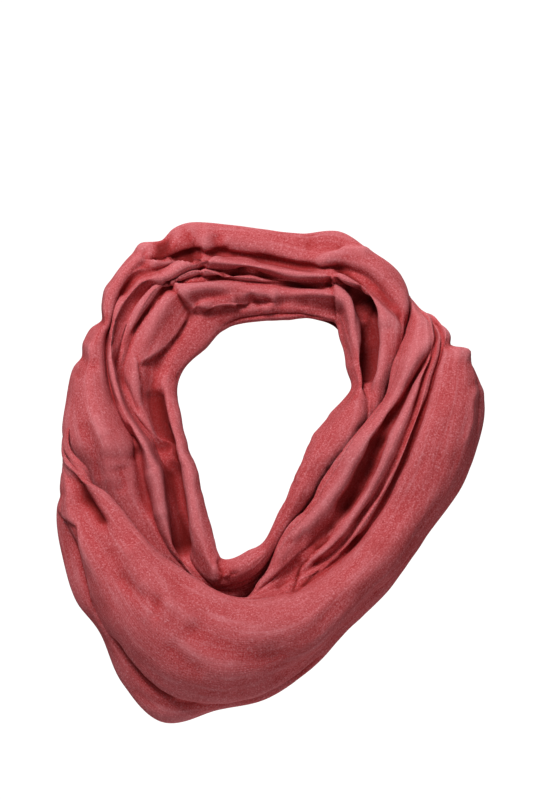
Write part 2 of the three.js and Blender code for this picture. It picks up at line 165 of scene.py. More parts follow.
# Outer turn: a row for each fold line, from the lip beside the inner turn to the back edge
OUTER_TURN = [
    fold("lip",
        out=[140, 149, 145, 148.5, 150, 163, 169, 175, 187, 175, 168, 173, 172, 160, 125, 109, 74, 60,
            69, 84],
        forward=[20, 24, 15, 3, 2, -12, -77, -101, -126, -144, -143, -121, -105, -73, -40, -27, 1, 6, 7,
            11]),
    fold("rim",
        out=[138.5, 144, 141, 145, 151.9, 166, 169.5, 176, 188, 176, 169, 174, 173, 164.5, 143, 118, 85,
            72, 77, 93],
        forward=[25, 25, 15, 4, 7.2, -18, -81, -106, -131, -149, -147, -126, -110, -66, -24, -14, 12, 16,
            17, 16]),
    fold("rim groove",
        out=[136.5, 139, 137, 142, 153, 167.3, 169, 175, 187, 175, 168, 173, 172, 168.5, 160, 128, 95.6,
            88, 92, 104],
        forward=[30, 26, 16, 3, 9.5, -24, -84, -109, -135, -152, -150, -130, -116, -78, -37, -25, 4, 8,
            8, 13]),
    fold("ply",
        out=[134.5, 135, 134, 140, 154, 168, 169.5, 176, 187, 175, 168, 173, 172, 169, 162.5, 135, 106,
            96, 104.5, 111],
        forward=[35, 28, 17, 4, 10.7, -29, -88, -113, -139, -157, -156, -135, -121, -85, -41, -12, 14,
            15, 17, 14]),
    fold("ply groove",
        out=[133, 131.5, 131, 138.5, 155.2, 168.3, 168.5, 175, 186, 173, 166, 172, 171, 168.5, 165.2,
            140.5, 115.5, 102, 110, 117],
        forward=[39.5, 31, 19, 7, 11.5, -33, -91, -117, -142, -157, -156, -137, -124, -90, -44, -19, 8,
            8, 11, 17]),
    fold("hem",
        out=[132, 128.5, 129, 137.5, 156.5, 168.5, 168.5, 175, 185, 173, 166, 172, 171, 168.5, 167.6,
            144.5, 118.7, 106.5, 113.5, 121],
        forward=[44, 34, 22, 10, 12, -37, -95, -121, -146, -160, -159, -141, -127, -95, -40, -15, 12, 13,
            16, 21]),
    fold("hem groove",
        out=[132.3, 127.5, 128, 138, 157.8, 168.5, 167.5, 174, 183, 171, 164, 170, 170, 168, 170.6,
            148.5, 122, 111, 117, 125],
        forward=[49, 40, 27, 14, 12, -41, -98, -124, -149, -161, -160, -143, -130, -100, -44, -20, 8, 9,
            12, 28]),
    fold("top",
        out=[136, 134, 132, 142, 160, 168.5, 167, 172, 180, 168, 161, 168, 168, 167.5, 173.8, 154, 128,
            117, 124, 134],
        forward=[57, 50, 38, 20, 11, -46, -102, -128, -152, -164, -163, -146, -133, -106, -44, -12, 15,
            18, 33, 50]),
    fold("face",
        out=[160, 154, 146, 149, 162, 167.5, 163, 167, 171, 158, 151, 160, 162, 164, 176, 166, 142, 130,
            136, 154],
        forward=[72, 63, 45, 20, 7, -54, -110, -134, -158, -168, -167, -150, -138, -112, -50, -14, 17,
            23, 43, 63]),
    fold("trough",
        out=[182, 176, 162, 160, 165, 165, 157, 159, 160, 149, 145, 153, 156, 158, 177, 176, 156, 143,
            148, 171],
        forward=[73, 63, 42, 11, 0, -67, -117, -139, -160, -167, -166, -151, -141, -120, -60, -20, 12,
            20, 41, 59]),
    fold("belly",
        out=[205, 200, 178, 172, 168, 159, 150, 149, 148, 138, 136, 145, 148, 151, 175, 181, 167, 151,
            156, 182],
        forward=[62, 53, 38, 11, -7, -80, -122, -144, -163, -170, -169, -154, -145, -128, -72, -30, 4,
            12, 33, 46]),
    fold("crease",
        angles=[-170, -160, -150, -140, -130, -120, -110, -100, -90, -70, -50, -30, -10, 10, 30, 40, 50,
            60, 70, 90, 120, 150, 160, 170, 180],
        out=[220.4, 224.4, 216.6, 205, 190.3, 179, 178, 170, 151, 142, 138, 134, 129, 128, 136, 138, 142,
            171, 182.3, 174, 155, 161, 171, 190, 210],
        forward=[46, 41, 34, 28, 22, 11, 1, -15, -88, -126, -147, -162, -166, -165, -153, -146, -133,
            -84, -42, -6, 2, 23, 28, 34, 42]),
    fold("hang",
        angles=[-170, -160, -150, -140, -130, -120, -110, -100, -90, -70, -50, -30, -10, 10, 30, 40, 50,
            60, 70, 80, 90, 100, 110, 120, 130, 140, 150, 160, 170, 180],
        out=[227.7, 248, 234.4, 211, 204.7, 193, 183.6, 171, 141, 130, 125, 123, 120, 121, 128, 128, 131,
            163, 181, 184.5, 177.4, 169.3, 161.5, 156.5, 157, 161.5, 165.5, 176.5, 195.5, 216],
        forward=[30, 24, 18, 13, 8, -3, -13, -27, -94, -129, -148, -160, -162, -161, -151, -146, -137,
            -96, -56, -36, -20, -15, -11, -9, -6, 0, 6, 12, 20, 28]),
    fold("under",
        out=[214, 216, 190, 172, 162, 128, 116, 113, 112, 112, 114, 121, 118, 118, 149, 170, 170, 150,
            158, 188],
        forward=[8, -6, -14, -42, -56, -98, -131, -148, -156, -156, -155, -147, -144, -139, -108, -80,
            -50, -38, -24, -2]),
    fold("back edge",
        out=[190, 190, 168, 158, 148, 114, 104, 101, 101, 104, 107, 114, 110, 107, 129, 148, 150, 140,
            150, 172],
        forward=[-10, -22, -34, -66, -80, -98, -129, -144, -150, -148, -147, -140, -138, -137, -114, -96,
            -78, -62, -48, -28]),
]

# Creases shaped one by one. A line is a sharp valley, a trough a soft one, a ridge a soft rise, and a
# ledge is an edge of cloth that stands higher on the side named, seen along its path. The other side
# of a ledge sinks by its drop, which is its depth where none is given, over its fall in mm. Dark is
# half the width of a shadow kept in a hollow, in mm, and shade says how deep that shadow is.
# Dark and shade give a painted shadow, and every line and ledge also gets a thin painted shade line
INNER_CREASES = [
    # This trough's painted shadow darkens a facet that faces away from the light
    crease("trough", [(150, 250), (168, 246), (186, 246), (200, 252)], 8, 1.5, dark=8, shade=1.0),
    crease("trough", [(141, 245), (147, 256), (142, 268)], 4.5, 3.8),
    crease("ledge", [(148, 256), (160, 258), (180, 259), (200, 262)], 10, 2.5, high="right", drop=9.5,
        fall=17),
    crease("ledge", [(184, 226), (196, 240), (204, 254)], 9, 2.5, high="left"),
    crease("trough", [(216, 231), (218, 245), (228, 249)], 5, 3.8),
    crease("ridge", [(124, 270), (112, 292), (106, 318)], 5, 2.1),
    crease("trough", [(143, 256), (130, 276), (119, 296)], 5, 3.1),
    crease("ledge", [(198, 277), (203, 266), (211, 254), (225, 251)], 7, 1.6, high="right"),
    crease("line", [(164, 278), (180, 281), (200, 279), (220, 275), (240, 269), (252, 267)], 2.4, 4.4),
    crease("line", [(252, 268), (262, 274), (281, 280), (304, 284), (325, 285), (330, 280)], 2.4, 3.7),
    crease("trough", [(252, 254), (272, 257), (298, 264), (322, 266)], 4, 3.1),
    crease("line", [(166, 282), (155, 300), (141, 317), (128, 334), (121, 352)], 2.4, 3.4),
    crease("ridge", [(162, 277), (150, 293), (136, 309), (124, 328), (117, 350)], 3, 2.2),
    crease("trough", [(152, 270), (140, 288), (127, 304), (115, 325), (108, 350)], 4.5, 3.4),
    crease("trough", [(112, 352), (120, 378), (130, 398), (140, 414)], 3, 3.1),
    crease("ledge", [(167, 279), (177, 291), (185, 303), (189, 311)], 10, 4.6, high="left"),
    crease("ledge", [(189, 311), (204, 310), (225, 306), (250, 300)], 10, 4.2, high="left", drop=2.0),
    crease("ridge", [(194, 303), (214, 302), (238, 297)], 6.5, 5.5),
    crease("ledge", [(188, 312), (177, 332), (163, 348), (149, 359), (137, 365)], 11, 2.8,
        high="right"),
    crease("trough", [(142, 370), (156, 366), (172, 370), (178, 384)], 7, 2.0),
    crease("ledge", [(134, 352), (137, 366), (139, 386), (141, 408)], 6, 1.8, high="right"),
    crease("trough", [(154, 388), (160, 418), (169, 450)], 7, 7, dark=5, shade=0.9),
    crease("ridge", [(172, 396), (176, 430), (190, 470), (194, 520), (200, 556)], 5, 1.8),
    crease("trough", [(160, 430), (172, 468), (179, 510), (184, 560)], 5.5, 11, dark=6, shade=1.1),
    crease("ridge", [(246, 300), (258, 306), (268, 308), (276, 300), (272, 288)], 4, 3),
    crease("trough", [(249, 290), (256, 302), (262, 312)], 3.5, 2.2),
    crease("trough", [(278, 304), (290, 300), (310, 303)], 6, 1.7),
    crease("line", [(222, 325), (240, 318), (270, 313), (300, 313), (330, 318)], 2, 3.4),
    crease("trough", [(304, 240), (326, 240), (346, 245)], 8, 3.6),
    crease("ridge", [(316, 263), (330, 257), (346, 251), (372, 253)], 4.5, 5),
    crease("line", [(333, 264), (348, 271), (361, 278), (374, 290)], 3, 5),
    crease("trough", [(361, 279), (378, 295), (392, 311), (408, 321)], 5.5, 4.3),
    crease("ridge", [(334, 268), (346, 278), (364, 287), (382, 303), (395, 318), (402, 334)], 4, 2.8),
    crease("line", [(331, 271), (342, 281), (356, 293), (363, 302), (366, 320)], 2.8, 5.3),
    crease("trough", [(360, 292), (370, 316), (372, 342), (368, 380)], 5.5, 15, dark=4.5, shade=0.5),
    crease("ledge", [(357, 290), (364, 305), (366, 330), (366, 372)], 6, 2.5, high="right"),
    crease("ridge", [(380, 306), (389, 324), (391, 348), (385, 376), (374, 408), (362, 432)], 8, 3.6),
    crease("line", [(366, 340), (365, 362), (366, 384), (368, 400)], 2.4, 4),
    crease("ledge", [(331, 272), (335, 290), (338, 306), (341, 324)], 6, 3.6, high="left"),
    crease("ridge", [(338, 282), (346, 300), (350, 322), (352, 350), (356, 378)], 5, 1.8),
    crease("trough", [(352, 316), (350, 344), (356, 366)], 4, 1.2),
    crease("trough", [(409, 322), (404, 345), (396, 368), (386, 394)], 3, 3),
    crease("ledge", [(117, 400), (128, 422), (134, 441), (134, 460)], 8, 2.5, high="right"),
    crease("ridge", [(92, 416), (98, 426), (106, 437)], 6, 1.6),
    crease("trough", [(80, 424), (88, 438), (100, 452)], 8, 1.6),
    crease("ridge", [(106, 482), (106, 466), (128, 462)], 4, 0.9),
    crease("trough", [(97, 450), (99, 464), (102, 480)], 4.5, 1.4),
    crease("trough", [(120, 466), (124, 480), (119, 494)], 5, 1.2),
    crease("trough", [(134, 446), (142, 462), (140, 486), (150, 520)], 5, 2.2),
    crease("ridge", [(150, 468), (158, 492), (162, 520)], 8, 1.6),
    crease("trough", [(84, 344), (92, 330), (100, 316)], 5, 2.2),
    crease("trough", [(72, 376), (84, 368), (98, 362)], 6, 1.9),
    crease("trough", [(219, 566), (232, 574), (226, 584)], 5, 3.1),
    crease("ridge", [(213, 536), (216, 556), (216, 584)], 3.5, 2.3),
    crease("line", [(217, 560), (221, 572), (220, 584)], 2.4, 3.4),
    crease("ridge", [(308, 420), (290, 450), (280, 490), (270, 520)], 8, 1.6),
]
OUTER_CREASES = [
    crease("trough", [(72, 472), (78, 484), (87, 499), (98, 514), (106, 526)], 5, 6.5, dark=5,
        shade=0.9),
    crease("trough", [(102, 520), (118, 534), (136, 546)], 7, 1.9),
    crease("ridge", [(98, 492), (122, 513), (150, 542)], 5, 1.6),
    crease("ledge", [(57, 508), (64, 517), (77, 526), (80, 542), (87, 568), (95, 608)], 9, 2.2,
        high="left"),
    crease("trough", [(108, 548), (122, 566), (140, 586)], 9, 1.7),
    crease("trough", [(118, 572), (134, 588), (152, 600), (162, 606)], 6, 2.6),
    crease("trough", [(160, 592), (158, 606), (156, 618)], 4.5, 1.7),
    crease("ridge", [(166, 596), (176, 606), (196, 622)], 5, 1.4),
    crease("ridge", [(148, 594), (150, 606), (146, 620)], 4, 1.1),
    crease("trough", [(186, 618), (210, 640), (246, 653), (290, 656)], 13, 4.6),
    crease("trough", [(168, 640), (186, 660), (206, 672)], 7, 1.4),
    crease("ridge", [(196, 582), (206, 592), (230, 602)], 4, 1.1),
    crease("ledge", [(115, 642), (132, 662), (144, 675), (160, 688), (177, 698), (202, 703)], 8, 3.0,
        high="left"),
    crease("ledge", [(202, 703), (227, 702), (251, 697), (276, 687), (300, 673), (320, 656)], 7, 4,
        high="left"),
    crease("line", [(110, 634), (121, 647), (133, 662), (145, 675), (161, 688), (178, 698), (203, 703)],
        1.8, 5),
    crease("line", [(203, 703), (228, 702), (252, 697), (277, 687), (301, 673), (321, 656)], 1.8, 6),
    crease("line", [(238, 704), (262, 698), (288, 686), (312, 670), (336, 650)], 1.8, 4),
    crease("trough", [(130, 688), (150, 700), (186, 707), (205, 708)], 4, 1.4),
    crease("ridge", [(255, 676), (292, 660), (320, 638), (352, 606), (384, 568), (404, 536)], 7, 2.1),
    crease("trough", [(266, 684), (298, 666), (324, 645), (356, 612), (388, 574)], 6, 3.1),
    crease("ridge", [(444, 482), (424, 508), (402, 530), (372, 562), (340, 592)], 8, 1.6),
    crease("trough", [(440, 420), (428, 456), (412, 490), (388, 524)], 9, 1.9),
    crease("ridge", [(477, 386), (471, 402), (470, 424), (462, 448)], 3, 1.5),
    crease("ledge", [(453, 348), (470, 350), (472, 362), (478, 384)], 5, 2.4, high="right"),
    crease("line", [(422, 309), (434, 320), (437, 337), (432, 357), (423, 383), (412, 415)], 2, 2.5),
    crease("line", [(426, 310), (440, 323), (445, 340), (440, 360), (432, 386), (421, 417)], 2, 2.5),
    crease("ridge", [(430, 316), (432, 340), (423, 361), (411, 382), (397, 402)], 4, 1.4),
    crease("trough", [(428, 352), (416, 378), (402, 402), (388, 424)], 3.5, 2.6),
    crease("line", [(397, 404), (385, 428), (375, 458), (363, 486), (350, 504), (336, 522)], 2.8, 4.7),
    crease("line", [(336, 522), (325, 539), (317, 547), (301, 565), (295, 581), (290, 592)], 2.4, 4),
    crease("line", [(418, 402), (406, 435), (392, 466), (377, 495), (360, 516), (345, 536)], 2, 2.8),
    crease("line", [(345, 536), (327, 553), (311, 567)], 2, 2.8),
    crease("line", [(426, 402), (415, 431), (403, 461), (391, 486), (382, 504), (366, 530)], 2.2, 3.7),
    crease("line", [(366, 530), (348, 547), (323, 566), (308, 578), (291, 592)], 2.2, 3.7),
    crease("trough", [(382, 432), (368, 464), (353, 490), (336, 514)], 5.5, 7, dark=4, shade=0.5),
    crease("ridge", [(398, 401), (383, 410), (350, 451), (311, 496), (284, 536), (269, 570)], 4, 2.1),
    crease("ridge", [(309, 538), (304, 548), (288, 561), (272, 574), (252, 592)], 3, 2.5),
    crease("trough", [(302, 558), (290, 574), (276, 590)], 4, 3.1),
    crease("trough", [(286, 546), (300, 538), (306, 528)], 3.5, 2.2),
]

# Creases like them where the photo doesn't look, on faces turned to the back
BACK_CREASES = [
    crease("trough", [(150, 262), (200, 250), (262, 258)], 6, 2.4),
    crease("ridge", [(220, 300), (290, 292), (360, 306)], 6, 2.0),
    crease("line", [(180, 318), (240, 310), (300, 316)], 3, 2.0),
    crease("trough", [(86, 420), (104, 470), (120, 520)], 7, 2.6),
    crease("trough", [(430, 380), (436, 430), (416, 480)], 7, 2.6),
    crease("ridge", [(150, 600), (210, 640), (290, 630)], 8, 2.0),
    crease("trough", [(340, 560), (380, 510), (410, 450)], 7, 2.4),
]

# How creases behave: the share of a path over which its ends fade, the share of the depth left at an
# end, how fast a crease is lost on cloth that turns away, the half width in mm over which a ledge
# steps up, and its fall as a share of its width where none is given
END_SHARE = 0.16
END_LEFT = 0.25
FACING_GAIN = 3.0
LEDGE_EDGE = 0.7
LEDGE_FALL = 0.45

# Folds pressed sharp all round a turn: the fold, how deep and how wide, in mm
INNER_PRESSES = [
    ("flap groove", 1.3, 1.6), ("hem groove", 1.3, 1.6), ("roll groove", 1.8, 2.4),
]
OUTER_PRESSES = [
    ("rim groove", 1.6, 2.2), ("ply groove", 1.2, 1.5), ("hem groove", 1.2, 1.5), ("crease", 1.2, 2.0),
]

# Unevenness of the cloth: height in mm, and cells of smooth noise along and across a turn
UNEVEN = [(0.9, 34, 12), (0.5, 18, 26), (0.25, 90, 34)]

# Small steps of the outline: angle and spread in degrees, height in mm
INNER_STEPS = [
    (-65.8, 2.4, -3.6), (-61.5, 1.8, 1.2), (-53.6, 2.6, -6.0), (-46.5, 2.0, 1.5), (-32.4, 2.0, 4.0),
    (-27.0, 2.4, -4.0), (-89.0, 9.0, 7.5), (-38.0, 8.0, 2.6), (38.0, 11.0, 4.0), (46.0, 4.5, 3.0),
    (-47.0, 4.0, 1.8),
]
OUTER_STEPS = [
    (-105.5, 1.5, -1.8), (-95.5, 6.0, 3.5), (-65.8, 2.4, -4.5), (-53.6, 2.6, -7.0), (53.5, 2.6, 4.0),
    (58.5, 2.0, 1.5), (63.0, 1.6, -5.0), (66.5, 1.8, 5.5), (77.5, 1.5, 1.0), (-103.0, 4.0, -2.6),
    (180.0, 10.0, -3.4), (140.0, 20.0, -1.8), (-150.0, 20.0, -2.0),
]

# How far the steps of the outline reach into the cloth, and over how much of that they fade, in mm
OUTLINE_REACH = 16
OUTLINE_FADE = 14

# Steps of the neck opening, the largest where the left band dips behind the front, and how far in mm
# they reach into the cloth
NECK_STEPS = [
    (-158, 7, 11), (-100, 12, 2.4), (-62, 12, 2.2), (-22, 11, 6.2), (20, 10, 2.6), (31, 4.5, 5.5),
    (70, 12, 6.2), (-172, 5, -4),
]
NECK_REACH = 45

# Height over its surroundings, in mm, at which a ridge gets the palest painted highlight and a hollow
# the deepest painted shade, and how far those surroundings reach, in faces
PAINTED_LIGHT_HEIGHT = 2.2
PAINTED_LIGHT_REACH = 4

# Depth from which a sharp crease lets in hardly any light and gets its full painted shade, and half
# the width of its painted dark line, in mm, and how far it shows on cloth that turns away
PAINTED_SHADE_DEPTH = 4.5
PAINTED_SHADE_WIDTH = 1.1
PAINTED_SHADE_FACING = 1.5

# Where the cloth is drawn flat, in photo pixels, over a reach in faces
INNER_EASED = [
    {"path": [(176, 300), (168, 320), (156, 342), (146, 356)], "width": 12, "share": 0.9},
    {"path": [(394, 330), (391, 352), (385, 378), (374, 408)], "width": 9, "share": 0.75},
    {"path": [(204, 298), (222, 295), (240, 291)], "width": 9, "share": 0.85},
]
EASE_REACH = 8

# Where a fold is caught and drawn sideways: the place, the move and how far it reaches, in photo pixels
INNER_PULLS = [{"at": (166, 264), "move": (-2, 11), "reach": 19}]
OUTER_PULLS = [{"at": (62, 404), "move": (7, 0), "reach": 30}]

# Hems that show: the angles they run between. Then, in mm, how far the thread lifts off a hem that
# shows and off an edge, how far the stitches lie inside the hem, and how sharp the hem's own edge is
INNER_HEM = (-80, -4)
OUTER_HEM = (57, 172)
HEM_LIFT = 0.2
EDGE_LIFT = 0.15
STITCH_INSET = 1.5
HEM_EDGE = 0.8

# Share of the jersey's own colour that the thread has
THREAD_SHADE = 0.85

# Points round each free edge of the cloth, and the smallest lengths that are divided by, in mm
EDGE_POINTS = 3
TINY = 1e-9
SHORTEST_GAP = 1e-4

# Stage: the floor's half width and its height below the origin, and the camera, all in metres but
# for the sensor's width in mm
FLOOR_HALF = 14.0
FLOOR_DROP = 1.45
CAMERA_DISTANCE = 6.0
SENSOR_WIDTH = 36

# Lights: name, place in metres, size in metres, watts and colour, all aimed at one point
LIGHTS_AIM = (0, -0.12, -0.1)
LIGHTS = [
    ("key", (-0.6, -1.0, 1.95), 0.9, 50, (1.0, 0.98, 0.98)),
    ("fill", (0.9, -1.8, -0.5), 1.4, 5, (1.0, 0.98, 1.0)),
    ("back", (0.4, 1.9, 1.1), 1.6, 34, (1.0, 1.0, 1.0)),
]

INNER = {
    "name": "scarf_inner_turn",
    "nodes": INNER_NODES,
    "folds": INNER_TURN,
    "creases": INNER_CREASES,
    "presses": INNER_PRESSES,
    "steps": INNER_STEPS,
    "neck_steps": NECK_STEPS,
    "eased": INNER_EASED,
    "pulls": INNER_PULLS,
    "hem": INNER_HEM,
    "width": INNER_WIDTH,
    "seed": 11,
}
OUTER = {
    "name": "scarf_outer_turn",
    "nodes": OUTER_NODES,
    "folds": OUTER_TURN,
    "creases": OUTER_CREASES,
    "presses": OUTER_PRESSES,
    "steps": OUTER_STEPS,
    "neck_steps": [],
    "eased": [],
    "pulls": OUTER_PULLS,
    "hem": OUTER_HEM,
    "width": OUTER_WIDTH,
    "seed": 23,
}


class ScarfSizes(bpy.types.PropertyGroup):
    """Sizes of the cloth and its hems"""

    thickness: bpy.props.FloatProperty(
        name="Cloth Thickness", description="Thickness of the jersey", default=1.2 * MM, subtype="DISTANCE"
    )
    hem_width: bpy.props.FloatProperty(
        name="Hem Width", description="Width of the turned hem along each free edge", default=8 * MM,
        subtype="DISTANCE",
    )
    hem_rise: bpy.props.FloatProperty(
        name="Hem Rise", description="Height of the turned hem over the cloth", default=0.5 * MM,
        subtype="DISTANCE",
    )
    stitch_length: bpy.props.FloatProperty(
        name="Stitch Length", description="Length of one stitch", default=2.4 * MM, subtype="DISTANCE"
    )
    stitch_pitch: bpy.props.FloatProperty(
        name="Stitch Pitch", description="Distance from stitch to stitch", default=3.2 * MM,
        subtype="DISTANCE",
    )
    stitch_width: bpy.props.FloatProperty(
        name="Stitch Width", description="Width of the sewing thread", default=0.5 * MM, subtype="DISTANCE"
    )
    stations: bpy.props.IntProperty(
        name="Sections", description="Sections of cloth round each turn", default=480
    )
    face_length: bpy.props.FloatProperty(
        name="Face Length", description="Length of one face across the cloth", default=1.35 * MM,
        subtype="DISTANCE",
    )


class ScarfColours(bpy.types.PropertyGroup):
    """Colours of the heathered jersey; the pale and deep fibre colours are also the painted highlight
    on ridges and the painted shade in hollows
    """

    base: bpy.props.FloatVectorProperty(
        name="Base Yarn", description="Main colour of the jersey", default=(0.475, 0.089, 0.096),
        size=3, subtype="COLOR",
    )
    # The pale fibre colour is also the painted highlight on ridges
    pale: bpy.props.FloatVectorProperty(
        name="Pale Fibre", description="Colour of the pale fibres", default=(0.71, 0.34, 0.37),
        size=3, subtype="COLOR",
    )
    # The deep fibre colour is also the painted shade in hollows
    deep: bpy.props.FloatVectorProperty(
        name="Deep Fibre", description="Colour of the deep fibres", default=(0.31, 0.02, 0.018),
        size=3, subtype="COLOR",
    )
    floor: bpy.props.FloatVectorProperty(
        name="Floor", description="Colour of the studio floor", default=(0.86, 0.86, 0.86),
        size=3, subtype="COLOR",
    )


def new_object(name, data):
    """Object with its data, linked to the scene."""
    made = bpy.data.objects.new(name, data)
    bpy.context.scene.collection.objects.link(made)
    return made


# Shape of the cloth

def ring_axes():
    """Right, up and forward directions of the turns, and the point on their axis."""
    lean = math.radians(AXIS_LEAN)
    right = np.array([1.0, 0.0, 0.0])
    up = np.array([0.0, math.sin(lean), math.cos(lean)])
    front = np.array([0.0, -math.cos(lean), math.sin(lean)])
    middle = -NAPE_OUT * up - NAPE_FORWARD * front
    return right, up, front, middle


def row_at(angles, values, turned):
    """Values of one table row at many angles: a smooth closed curve through its keys."""
    knots = np.array(angles, float)
    heights = np.array(values, float)
    count = len(knots)
    wrapped = (turned - knots[0]) % 360 + knots[0]
    index = np.searchsorted(knots, wrapped, side="right") - 1

    def key(offset):
        place = index + offset
        wraps = np.floor_divide(place, count)
        at = place - wraps * count
        return knots[at] + 360 * wraps, heights[at]

    (before_angle, before), (start_angle, start) = key(-1), key(0)
    (end_angle, end), (after_angle, after) = key(1), key(2)
    span = end_angle - start_angle
    share = (wrapped - start_angle) / span
    start_slope = (end - before) / (end_angle - before_angle) * span
    end_slope = (after - start) / (after_angle - start_angle) * span
    square, cube = share ** 2, share ** 3
    return (
        (2 * cube - 3 * square + 1) * start
        + (cube - 2 * square + share) * start_slope
        + (3 * square - 2 * cube) * end
        + (cube - square) * end_slope
    )


def fold_lines(turn, angles):
    """Points of every fold line at every angle, in mm: fold, angle, coordinate."""
    right, up, front, middle = ring_axes()
    turned = np.radians(angles)[:, None]
    lines = []
    for row in turn:
        out = row_at(row["angles"], row["out"], angles)[:, None]
        forward = row_at(row["angles"], row["forward"], angles)[:, None]
        lines.append(middle + out * np.sin(turned) * right + out * np.cos(turned) * up + forward * front)
    return np.array(lines)


def across_curve(lines, place):
    """Points at one place across the cloth, on a centripetal curve through the fold lines."""
    last = len(lines) - 1
    start = min(int(place), last - 1)
    share = place - start
    before = lines[start - 1] if start > 0 else 2 * lines[0] - lines[1]
    here, there = lines[start], lines[start + 1]
    after = lines[start + 2] if start + 2 <= last else 2 * lines[last] - lines[last - 1]
    gaps = [
        np.maximum(np.linalg.norm(b - a, axis=1, keepdims=True), SHORTEST_GAP) ** 0.5
        for a, b in ((before, here), (here, there), (there, after))
    ]
    first, middle, final = gaps
    leave = (here - before) / first - (there - before) / (first + middle) + (there - here) / middle
    arrive = (there - here) / middle - (after - here) / (middle + final) + (after - there) / final
    leave, arrive = leave * middle, arrive * middle
    square, cube = share ** 2, share ** 3
    return (
        here + leave * share
        + (-3 * here + 3 * there - 2 * leave - arrive) * square
        + (2 * here - 2 * there + leave + arrive) * cube
    )


def across_places(lines, face_length):
    """Places across the cloth, spaced by the mean distance between fold lines."""
    places = []
    for start in range(len(lines) - 1):
        span = np.linalg.norm(lines[start + 1] - lines[start], axis=1).mean()
        steps = max(2, round(span / face_length))
        places += [start + step / steps for step in range(steps)]
    return places + [len(lines) - 1]


def surface_normals(points):
    """Unit normals of a grid of points that closes round its first axis."""
    along = np.roll(points, -1, axis=0) - np.roll(points, 1, axis=0)
    across = np.gradient(points, axis=1)
    normals = np.cross(along, across)
    return normals / np.maximum(np.linalg.norm(normals, axis=2, keepdims=True), TINY)


def soft_noise(long, wide, cells_long, cells_wide, seed):
    """Smooth uneven field from -1 to 1 over a grid, which closes round its first axis."""
    lattice = np.random.default_rng(seed).uniform(-1, 1, (cells_long, cells_wide + 2))
    u = np.arange(long) / long * cells_long
    v = np.arange(wide) / (wide - 1) * cells_wide
    u_cell, v_cell = u.astype(int), np.minimum(v.astype(int), cells_wide - 1)
    u_share, v_share = u - u_cell, v - v_cell
    u_share = (u_share ** 2 * (3 - 2 * u_share))[:, None]
    v_share = (v_share ** 2 * (3 - 2 * v_share))[None, :]

    def corner(du, dv):
        return lattice[np.ix_((u_cell + du) % cells_long, v_cell + dv)]

    near = corner(0, 0) * (1 - v_share) + corner(0, 1) * v_share
    far = corner(1, 0) * (1 - v_share) + corner(1, 1) * v_share
    return near * (1 - u_share) + far * u_share


def on_photo(points):
    """Points seen in the photo plane, in mm right of and above the axis of the turns."""
    right, up, _, middle = ring_axes()
    return np.stack([(points - middle) @ right, (points - middle) @ up], axis=2)


def from_pixels(pixels):
    """Photo pixels as places in the photo plane, in mm."""
    return (np.array(pixels, float) - AXIS_PIXEL) * (MM_PER_PIXEL, -MM_PER_PIXEL)


def path_distance(flat, pixels):
    """Distance of each point from a path, the side it lies on, and the share of the path passed there."""
    path = from_pixels(pixels)
    runs = np.diff(path, axis=0)
    lengths = np.linalg.norm(runs, axis=1)
    passed = np.concatenate([[0], np.cumsum(lengths)]) / lengths.sum()
    away = np.full(flat.shape[:2], np.inf)
    side, share = np.zeros(flat.shape[:2]), np.zeros(flat.shape[:2])
    for start, run, length, before, after in zip(path, runs, lengths, passed, passed[1:]):
        offset = flat - start
        part = np.clip(offset @ run / length ** 2, 0, 1)
        gap = np.linalg.norm(offset - part[..., None] * run, axis=2)
        nearer = gap < away
        away = np.where(nearer, gap, away)
        side = np.where(nearer, np.sign(run[0] * offset[..., 1] - run[1] * offset[..., 0]), side)
        share = np.where(nearer, before + part * (after - before), share)
    return away, side, share


def end_fade(share, left):
    """How much of a crease is left along its path: it fades towards both ends."""
    return np.clip(np.minimum(share, 1 - share) / END_SHARE + left, 0, 1)


def facing_share(normals, looking, spare):
    """How far the cloth faces one way, from 0 to 1, with some to spare where it turns away."""
    return np.clip((normals @ looking) * FACING_GAIN + spare, 0, 1)


def crease_height(flat, crease):
    """Rise or fall, in mm, that one crease gives at points of the photo plane."""
    away, side, share = path_distance(flat, crease["path"])
    fade = end_fade(share, END_LEFT)
    width, depth = crease["width"], crease["depth"]
    if crease["shape"] == "line":
        return -depth * fade * np.exp(-away / width)
    if crease["shape"] == "trough":
        return -depth * fade * np.exp(-((away / width) ** 2))
    if crease["shape"] == "ridge":
        return depth * fade * np.exp(-((away / width) ** 2))
    signed = away * side * (1 if crease["high"] == "left" else -1)
    above = (1 + np.tanh(signed / LEDGE_EDGE)) / 2
    fall = crease.get("fall", LEDGE_FALL * width)
    drop = crease.get("drop", depth)
    return fade * (above * depth * np.exp(-away / width) - (1 - above) * drop * np.exp(-away / fall))


def crease_field(points, normals, creases, looking):
    """How far each point moves out for the creases, in mm, on the faces turned one way."""
    flat = on_photo(points)
    facing = facing_share(normals, looking, 0)
    return facing * sum(crease_height(flat, crease) for crease in creases)


def painted_shade_field(points, normals, creases, looking):
    """How deep in a sharp or dark crease each point lies, from 0 to about 1: the strength of the painted
    shade there, where little light comes in.
    """
    flat = on_photo(points)
    facing = facing_share(normals, looking, PAINTED_SHADE_FACING)
    field = np.zeros(flat.shape[:2])
    for crease in creases:
        if crease["shape"] in ("line", "ledge") or "dark" in crease:
            away, _, share = path_distance(flat, crease["path"])
            most = crease.get("shade", min(crease["depth"] / PAINTED_SHADE_DEPTH, 1))
            fade = end_fade(share, 0) * most
            width = crease.get("dark", PAINTED_SHADE_WIDTH)
            field = np.maximum(field, facing * fade * np.exp(-((away / width) ** 2)))
    return field


